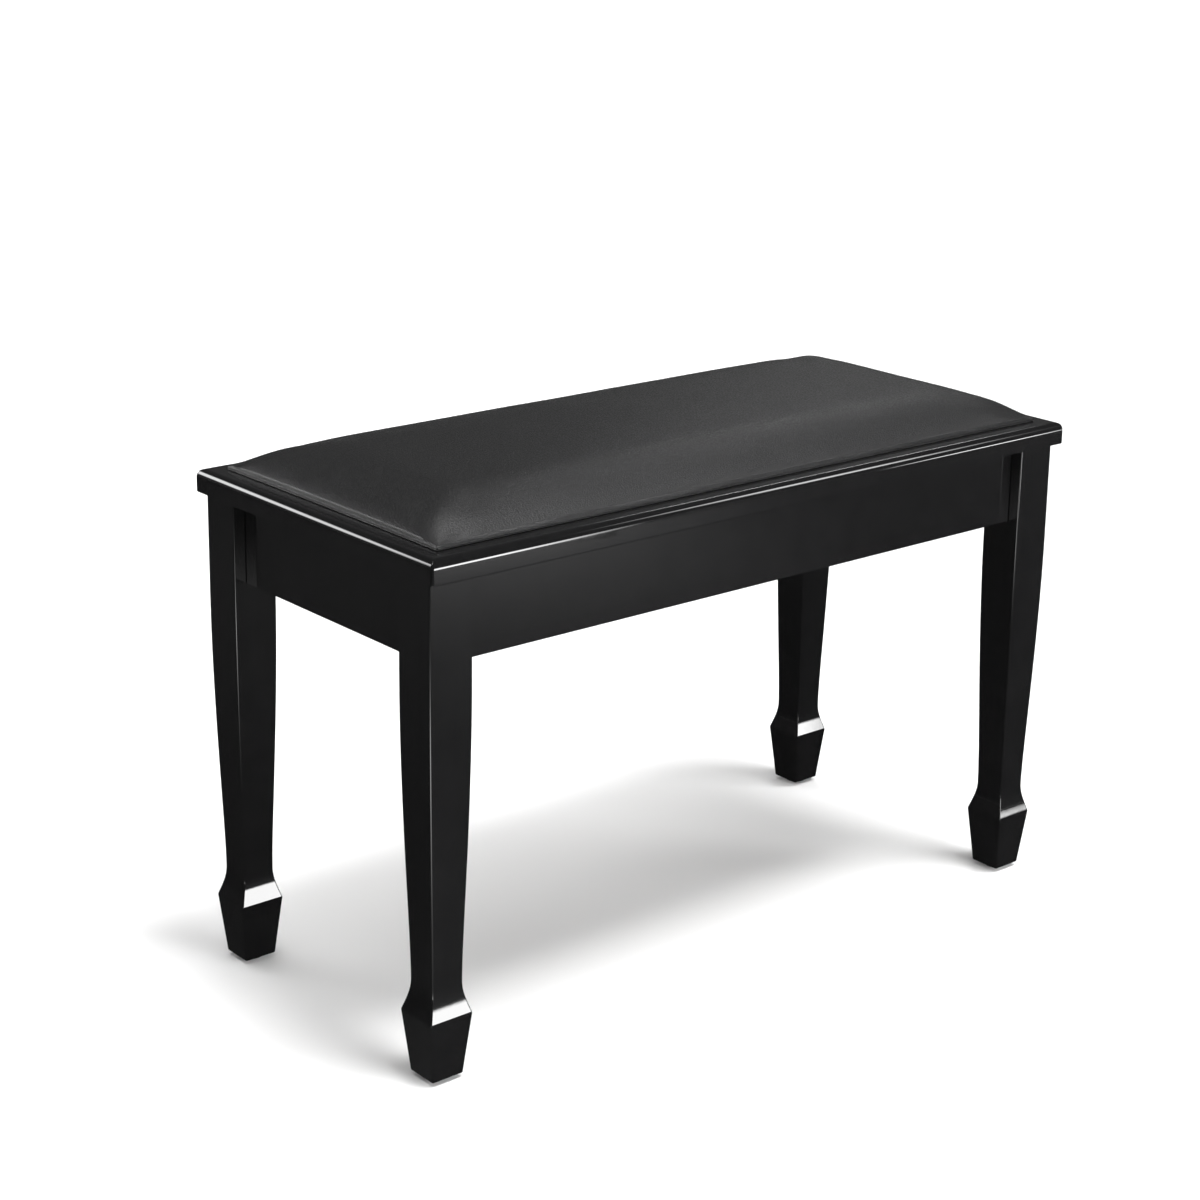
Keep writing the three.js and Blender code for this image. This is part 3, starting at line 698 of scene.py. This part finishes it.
def pad_outline(x, y):
    """Rounds the cushion's corners and draws its sides in a little between them."""
    radius = 2.5 * MM
    dx, dy = np.abs(x) - (PAD_X - radius), np.abs(y) - (PAD_Y - radius)
    corner = (dx > 0) & (dy > 0)
    far = np.maximum(dx, dy) / np.maximum(np.hypot(dx, dy), 1e-9)
    new_x = np.where(corner, np.sign(x) * (PAD_X - radius + dx * far), x)
    new_y = np.where(corner, np.sign(y) * (PAD_Y - radius + dy * far), y)
    edge_x = np.clip(1 - (PAD_X - np.abs(x)) / (25 * MM), 0, 1) ** 2
    edge_y = np.clip(1 - (PAD_Y - np.abs(y)) / (25 * MM), 0, 1) ** 2
    new_x = new_x - np.sign(x) * 1.1 * MM * edge_x * (1 - (y / PAD_Y) ** 2)
    new_y = new_y - np.sign(y) * 1.4 * MM * edge_y * (1 - (x / PAD_X) ** 4)
    return new_x, new_y


def pad_mesh(x, y, z):
    """Closes the top grid with a rounded side, a hem and a recessed underside for the board."""
    rows, columns = x.shape
    vertices = list(zip(x.ravel(), y.ravel(), z.ravel()))
    index = np.arange(rows * columns).reshape(rows, columns)
    faces = [(index[j, i], index[j, i + 1], index[j + 1, i + 1], index[j + 1, i])
             for j in range(rows - 1) for i in range(columns - 1)]
    loop = [*index[0, :-1], *index[:-1, -1], *index[-1, :0:-1], *index[:0:-1, 0]]
    base = np.array([vertices[i] for i in loop])
    scale_x, scale_y = PAD_X / (PAD_X - RIM_INSET), PAD_Y / (PAD_Y - RIM_INSET)
    count = len(loop)
    previous = loop
    for inset, height in HEM:
        outwards = 1 - inset * MM / RIM_INSET
        ox = base[:, 0] * (1 + (scale_x - 1) * outwards)
        oy = base[:, 1] * (1 + (scale_y - 1) * outwards)
        ring = list(range(len(vertices), len(vertices) + count))
        vertices += [(a, b, LID_TOP + height * MM) for a, b in zip(ox, oy)]
        for k in range(count):
            after = (k + 1) % count
            faces.append((previous[k], ring[k], ring[after], previous[after]))
        previous = ring
    faces.append(tuple(previous))
    return vertices, faces, rows * columns


def inflate(columns, rows, crown):
    """Cloth under pressure over the padding. Returns how far each point of the top grid moves."""
    x, y, z = pad_surface(columns, rows, crown)
    x, y = pad_outline(x, y)
    vertices, faces, top = pad_mesh(x, y, z)
    mesh = bpy.data.meshes.new("cloth")
    mesh.from_pydata(vertices, [], faces)
    bm = bmesh.new()
    bm.from_mesh(mesh)
    bmesh.ops.recalc_face_normals(bm, faces=bm.faces)
    bm.to_mesh(mesh)
    bm.free()
    cloth = bpy.data.objects.new("cloth", mesh)
    scene.collection.objects.link(cloth)
    edge = np.zeros((rows, columns), bool)
    edge[0, :] = edge[-1, :] = edge[:, 0] = edge[:, -1] = True
    pinned = [int(i) for i in np.flatnonzero(edge.ravel())] + list(range(top, len(vertices)))
    cloth.vertex_groups.new(name="pin").add(pinned, 1.0, "REPLACE")
    modifier = cloth.modifiers.new("cloth", "CLOTH")
    settings = modifier.settings
    settings.quality = 6
    settings.mass = 0.3
    settings.tension_stiffness = 22
    settings.compression_stiffness = 22
    settings.shear_stiffness = 9
    settings.bending_stiffness = 2.0
    settings.tension_damping = 12
    settings.air_damping = 4
    settings.vertex_group_mass = "pin"
    settings.use_pressure = True
    settings.uniform_pressure_force = 4.0
    settings.effector_weights.gravity = 0.0
    modifier.collision_settings.use_collision = False
    modifier.collision_settings.use_self_collision = False
    modifier.point_cache.frame_start, modifier.point_cache.frame_end = 1, CLOTH_STEPS
    for step in range(1, CLOTH_STEPS + 1):
        scene.frame_set(step)
    evaluated = cloth.evaluated_get(bpy.context.evaluated_depsgraph_get())
    moved = np.zeros(len(evaluated.data.vertices) * 3, np.float32)
    evaluated.data.vertices.foreach_get("co", moved)
    shift = moved.reshape(-1, 3)[:top] - np.array(vertices[:top], float)
    scene.frame_set(1)
    bpy.data.objects.remove(cloth)
    length = np.linalg.norm(shift, axis=1)
    shift *= np.minimum(1, CLOTH_CAP / np.maximum(length, 1e-9))[:, None]
    print("cloth moved", round(float(length.max()) / MM, 2), "mm at most")
    return evened(shift.reshape(rows, columns, 3), 6) * (0.4, 0.4, 1)


def evened(field, rounds):
    """Averages each point of a grid with its neighbours; the rim stays where it is."""
    for _ in range(rounds):
        inner = field[1:-1, 1:-1]
        around = field[:-2, 1:-1] + field[2:, 1:-1] + field[1:-1, :-2] + field[1:-1, 2:]
        field[1:-1, 1:-1] = 0.4 * inner + 0.15 * around
    return field


def enlarged(field, columns, rows):
    """A grid resampled to more columns and rows."""
    def resampled(line, count):
        return np.interp(np.linspace(0, len(line) - 1, count), np.arange(len(line)), line)

    wide = np.apply_along_axis(resampled, 1, field, columns)
    return np.apply_along_axis(resampled, 0, wide, rows)


def fading(distance, start, reach):
    """Grows from nothing to full at a start, while it dies away over a reach."""
    return np.exp(-distance / reach) * np.clip(distance / start, 0, 1)


def cushion():
    """The stuffed pad, swollen by the pressure inside its cover."""
    columns, rows = FINE_GRID
    x, y, z = pad_surface(columns, rows, CROWN - STUFFING)
    shift = enlarged(inflate(*CLOTH_GRID, CROWN - STUFFING), columns, rows)
    # Short tension folds run out of each corner, and the stuffing is never quite even.
    for sx, sy in CORNERS.values():
        dx, dy = PAD_X - sx * x, PAD_Y - sy * y
        distance, angle = np.hypot(dx, dy), np.arctan2(dy, dx)
        fold = np.cos((angle - math.pi / 4) * 9) * fading(distance, 14 * MM, 26 * MM)
        across = distance * np.sin(angle - math.radians(38 if sx * sy > 0 else 52))
        pleat = np.exp(-(across / (2.1 * MM)) ** 2) * fading(distance, 4 * MM, 15 * MM)
        z = z + 0.12 * MM * fold - 0.5 * MM * pleat
    uneven = (np.sin(x * 23 + 1.3) * np.sin(y * 31 + 0.4) + 0.6 * np.sin(x * 47 + y * 29 + 2.1)
              + 0.5 * np.sin(x * 13 - y * 57 + 0.7))
    z = z + 0.22 * MM * uneven * swell(x, y)
    x, y = pad_outline(x, y)
    x, y, z = x + shift[..., 0], y + shift[..., 1], z + shift[..., 2]
    top = z.max() - (LID_TOP + CROWN)
    z = z - np.clip(top, 0, None) * np.clip((z - LID_TOP) / CROWN, 0, 1) ** 2
    vertices, faces, _ = pad_mesh(x, y, z)
    piece = make("cushion", vertices, faces, LEATHER)
    place(piece, "lid", "leather", "cushion_cover", "cushion_foam")


def cushion_board():
    """The plywood base, drawn in to stay clear of the turned-in hem."""
    low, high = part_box("cushion_board")
    inset = Vector((5.6 * MM, 5.6 * MM, 0))
    piece = slab("fine_cushion_board", low + inset, high - inset, 0.6 * MM, PLY)
    place(piece, "lid", "plywood", "cushion_board")


cushion()
cushion_board()


# ---- Ironmongery and bumpers -------------------------------------------------------------------


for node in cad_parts:
    if node.startswith(("hinge_", "stay_", "cushion_screw")):
        keep(node, ZINC)
    elif node.startswith("bumper"):
        keep(node, RUBBER, 0.3 * MM)


# ---- Floor, light and camera -----------------------------------------------------------------------


def floor():
    """A plain pale ground that reaches past every view."""
    material, n, spot = new_material("pale_floor", (0.85, 0.85, 0.85))
    cloud = n.noise(spot, 1.4, 3.0, 0.5)
    principled(n, {
        "Base Color": n.ramp(cloud, [(0.3, (0.80, 0.80, 0.80)), (0.7, (0.815, 0.815, 0.815))]),
        "Roughness": 0.9,
        "Specular IOR Level": 0.0,
    })
    mesh = bpy.data.meshes.new("floor")
    far = 60.0
    mesh.from_pydata([(-far, -far, 0), (far, -far, 0), (far, far, 0), (-far, far, 0)], [], [(0, 1, 2, 3)])
    mesh.materials.append(material)
    ground = bpy.data.objects.new("floor", mesh)
    scene.collection.objects.link(ground)


def glow(name, strength_of):
    """An emission material whose strength is a function of its place on the card."""
    material = bpy.data.materials.new(name)
    material.use_nodes = True
    n = Nodes(material.node_tree)
    where = n.add("ShaderNodeTexCoord").outputs["Object"]
    axes = n.add("ShaderNodeSeparateXYZ", {"Vector": where})
    emission = n.add("ShaderNodeEmission", {"Strength": strength_of(n, axes.outputs["X"], axes.outputs["Y"])})
    n.add("ShaderNodeOutputMaterial", {"Surface": emission.outputs[0]})
    return material


def card(name, width, height, material):
    """An upright sheet of light that the camera does not see."""
    mesh = bpy.data.meshes.new(name)
    a, b = width / 2, height / 2
    mesh.from_pydata([(-a, -b, 0), (a, -b, 0), (a, b, 0), (-a, b, 0)], [], [(0, 1, 2, 3)])
    mesh.materials.append(material)
    piece = bpy.data.objects.new(name, mesh)
    scene.collection.objects.link(piece)
    piece.visible_camera = piece.visible_shadow = False
    return piece


def softbox(name, spot, target, size, radiance, soft, lights=False, mirrored=True):
    """A panel of light that shines from its front and fades out over the soft width along its edges.

    Most panels are only mirrored in the polish; those with lights set also light the scene.
    """
    def strength(n, x, y):
        front = n.math("SUBTRACT", 1.0, n.add("ShaderNodeNewGeometry").outputs["Backfacing"])
        for axis, length, fade in zip((x, y), size, soft):
            inside = n.math("SUBTRACT", length / 2, n.math("ABSOLUTE", axis))
            front = n.math("MULTIPLY", front, n.math("MULTIPLY", inside, 1 / fade, clamp=True))
        return n.math("MULTIPLY", front, radiance)

    panel = card(name, *size, glow(name, strength))
    panel.visible_diffuse, panel.visible_glossy = lights, mirrored
    panel.location = spot
    panel.rotation_mode = "QUATERNION"
    panel.rotation_quaternion = (Vector(target) - Vector(spot)).to_track_quat("Z", "Y")


# Painted reflection: the dim glow that the polish mirrors in place of the white floor, and glowing patches
# that paint highlights in it.
PAINTED_REFLECTION_LEVEL = 0.03
PAINTED_REFLECTION_PATCHES = [  # centre, reach and brightness
    ((0.62, -1.62), (0.34, 0.42), 1.1),
    ((-0.1, -1.0), (1.1, 0.9), 0.09),
    ((-1.5, 0.9), (0.75, 0.75), 0.09),
    ((-0.75, -0.72), (0.3, 0.3), 9.0),
]


def painted_floor_reflection():
    """A painted reflection: a dark glowing sheet that the polish mirrors instead of the white floor, with
    lighter glowing patches that paint highlights.
    """
    def strength(n, x, y):
        level = None
        for (cx, cy), (wx, wy), height in PAINTED_REFLECTION_PATCHES:
            u = n.math("MULTIPLY", n.math("SUBTRACT", x, cx), 1 / wx)
            v = n.math("MULTIPLY", n.math("SUBTRACT", y, cy), 1 / wy)
            square = n.math("ADD", n.math("MULTIPLY", u, u), n.math("MULTIPLY", v, v))
            patch = n.math("MULTIPLY", n.math("EXPONENT", n.math("MULTIPLY", square, -1.0)), height)
            level = patch if level is None else n.math("ADD", level, patch)
        return n.math("ADD", level, PAINTED_REFLECTION_LEVEL)

    sheet = card("painted_floor_reflection", 40, 40, glow("painted_floor_reflection", strength))
    sheet.location.z = 0.0015
    sheet.visible_diffuse = sheet.visible_transmission = sheet.visible_volume_scatter = False


def studio():
    """A dim room under a bright ceiling, with panels of light round the bench and a soft overhead light."""
    world = bpy.data.worlds.new("studio")
    scene.world = world
    world.use_nodes = True
    n = Nodes(world.node_tree)
    direction = n.add("ShaderNodeTexCoord").outputs["Generated"]
    up = n.add("ShaderNodeSeparateXYZ", {"Vector": direction}).outputs["Z"]
    level = n.ramp(up, [(0.0, 0.025), (0.84, 0.025), (0.93, 1.0), (1.0, 1.0)], "EASE")
    background = n.add("ShaderNodeBackground", {"Color": level, "Strength": 3.4})
    n.add("ShaderNodeOutputWorld", {"Surface": background.outputs[0]})
    middle = (0, 0, 0.42)
    ground = (0, 0, 0.1)
    softbox("key", (1.58, -1.21, 1.73), middle, (0.7, 0.75), 13.0, (0.3, 0.2), lights=True)
    softbox("kicker_left", (0.50, -1.45, 0.25), (-0.35, -0.15, 0.25), (0.62, 0.48), 22.0, (0.2, 0.05))
    softbox("kicker_right", (1.50, -1.28, 0.18), (0.35, -0.15, 0.18), (0.36, 0.2), 22.0, (0.12, 0.05))
    softbox("rim", (-1.28, 1.8, 1.22), middle, (1.1, 0.8), 9.5, (0.25, 0.2))
    softbox("back", (2.3, 1.75, 1.9), middle, (1.2, 0.12), 10.0, (0.25, 0.02))
    fill = {"soft": (0.2, 0.2), "lights": True, "mirrored": False}
    softbox("fill_front", (0.6, -2.3, 0.7), ground, (2.0, 1.0), 17.0, **fill)
    softbox("fill_rear", (-0.9, 2.4, 0.7), ground, (1.8, 0.9), 12.0, **fill)
    light = bpy.data.lights.new("overhead", "SUN")
    light.energy = 2.3
    light.angle = math.radians(17)
    sun = bpy.data.objects.new("overhead", light)
    scene.collection.objects.link(sun)
    sun.rotation_mode = "QUATERNION"
    sun.rotation_quaternion = Vector((-0.12, 0.26, -1)).to_track_quat("-Z", "Y")


def camera():
    """Looks at the bench from the front left and a little above."""
    data = bpy.data.cameras.new("camera")
    yaw, pitch, roll = 0.7005, -0.2669, 0.0149
    level = math.cos(pitch)
    forward = Vector((math.sin(yaw) * level, math.cos(yaw) * level, math.sin(pitch)))
    right = Vector((math.cos(yaw), -math.sin(yaw), 0))
    above = right.cross(forward)
    turned_right = right * math.cos(roll) + above * math.sin(roll)
    turned_up = above * math.cos(roll) - right * math.sin(roll)
    spot = Vector((-1.4689, -1.6727, 1.0358))
    data.sensor_width = 36.0
    data.lens = 75.153
    data.shift_y = -0.1
    data.dof.use_dof = False
    data.clip_start, data.clip_end = 0.05, 200.0
    eye = bpy.data.objects.new("camera", data)
    scene.collection.objects.link(eye)
    eye.matrix_world = Matrix((
        (turned_right.x, turned_up.x, -forward.x, spot.x),
        (turned_right.y, turned_up.y, -forward.y, spot.y),
        (turned_right.z, turned_up.z, -forward.z, spot.z),
        (0, 0, 0, 1),
    ))
    scene.camera = eye


floor()
# A glowing sheet that paints the floor's reflection in the polish.
painted_floor_reflection()
studio()
camera()
